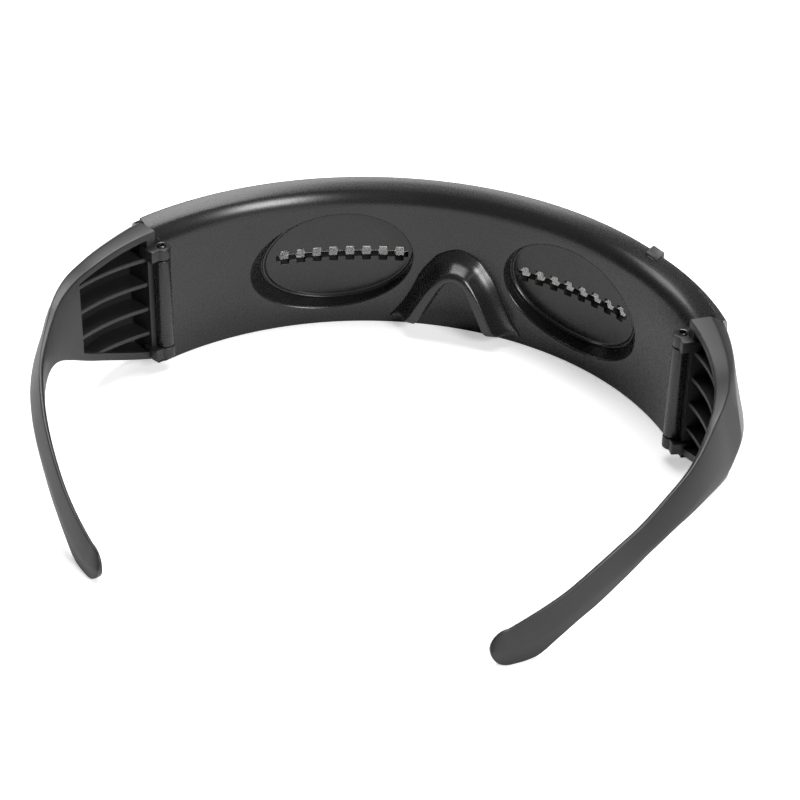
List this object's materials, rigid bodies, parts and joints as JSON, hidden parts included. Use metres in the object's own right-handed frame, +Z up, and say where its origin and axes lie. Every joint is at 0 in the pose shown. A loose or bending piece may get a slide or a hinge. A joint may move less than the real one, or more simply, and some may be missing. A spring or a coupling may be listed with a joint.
{
  "type": "light-up party glasses",
  "caption": "Wrap-around light-up party glasses with a one-piece mirrored visor lens, toothed viewing slots, folding temples and a push button.",
  "frame": {"origin": "middle of the footprint, on the surface the glasses stand on", "axes": "+Z up, +Y out of the front lens, +X towards the wearer's right temple as seen from behind"},
  "size_m": [0.167, 0.1402, 0.041],
  "materials": {
    "shell_black": "satin, fine moulded texture",
    "plate_black": "satin",
    "temple_black": "satin, fine moulded texture",
    "button_black": "satin",
    "lens_silver": "mirror-coated, polished",
    "board_black": "black solder mask",
    "board_green": "solder mask",
    "lamp": "cast resin",
    "chip_black": "moulded",
    "component": "ceramic",
    "steel": "plated",
    "pin_black": "blackened",
    "switch_metal": "stamped",
    "battery_foil": "foil pouch",
    "lead_red": "insulation",
    "lead_black": "insulation"
  },
  "bodies": {
    "visor": {"rear_shell": "shell_black", "eye_plate_left": "plate_black", "eye_plate_right": "plate_black", "lamp_board_left": "board_black", "lamp_board_right": "board_black", "lamps_left": "lamp", "lamps_right": "lamp", "front_lens": "lens_silver", "control_board": "board_green", "control_chip": "chip_black", "board_components": "component", "board_screws": "steel", "tact_switch": "switch_metal", "charging_socket": "steel", "battery_cell": "battery_foil", "battery_leads": "lead_red", "lamp_leads": "lead_black", "hinge_pin_left": "pin_black", "hinge_pin_right": "pin_black"},
    "temple_left": {"temple_left": "temple_black"},
    "temple_right": {"temple_right": "temple_black"},
    "button": {"button_key": "button_black"},
    "plunger": {"tact_plunger": "chip_black"}
  },
  "joints": [
    {"name": "temple_left_hinge", "type": "hinge", "parent": "visor", "child": "temple_left", "pos_m": [-0.06499, 0.0188, 0.02], "axis": [0, 0, 1], "range_deg": [0, 90]},
    {"name": "temple_right_hinge", "type": "hinge", "parent": "visor", "child": "temple_right", "pos_m": [0.06499, 0.0188, 0.02], "axis": [0, 0, -1], "range_deg": [0, 78]},
    {"name": "button_slide", "type": "slide", "parent": "visor", "child": "button", "axis": [0, 0, -1], "range_m": [0, 0.0005], "stiffness_N_per_m": 300},
    {"name": "plunger_slide", "type": "slide", "parent": "visor", "child": "plunger", "axis": [0, 0, -1], "range_m": [0, 0.0005]}
  ],
  "couplings": [
    {"joint": "plunger_slide", "follows": "button_slide", "ratio": 1}
  ]
}
